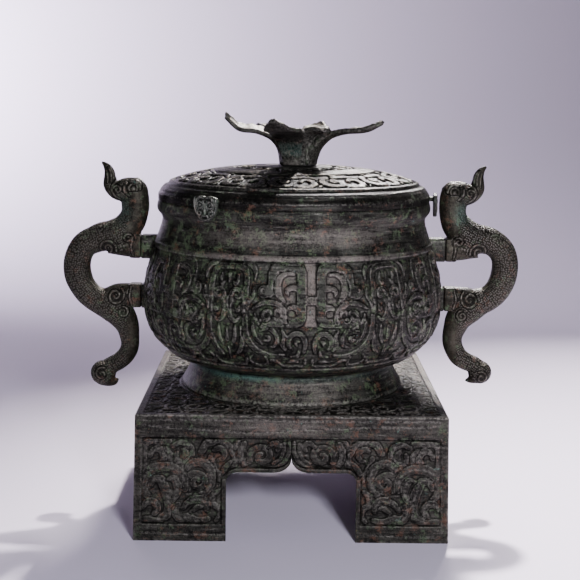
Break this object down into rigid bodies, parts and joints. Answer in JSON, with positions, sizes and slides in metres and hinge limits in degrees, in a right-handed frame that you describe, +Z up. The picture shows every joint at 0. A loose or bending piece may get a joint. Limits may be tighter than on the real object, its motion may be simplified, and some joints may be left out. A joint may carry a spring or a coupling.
{
  "type": "bronze gui vessel",
  "caption": "Lidded bronze food vessel on a square openwork plinth, with dragon handles, a petal crown on its lid and scrollwork in relief.",
  "frame": {"origin": "on the ground under the middle of the plinth, which is also the middle of the bounding box", "axes": "+Z up, -Y towards the viewer of the decorated front, +X towards the right handle"},
  "size_m": [0.3754, 0.2448, 0.3197],
  "materials": {
    "dark_bronze": "dark patinated cast bronze",
    "green_bronze": "green-grey patinated cast bronze",
    "worn_bronze": "brown-grey worn cast bronze"
  },
  "bodies": {
    "root": {"plinth": "dark_bronze", "bowl": "green_bronze", "lid": "dark_bronze", "lid_crown": "worn_bronze", "clasp_front_left": "worn_bronze", "clasp_right": "worn_bronze", "clasp_back_left": "worn_bronze", "handle_left": "worn_bronze", "handle_right": "worn_bronze"}
  },
  "joints": []
}
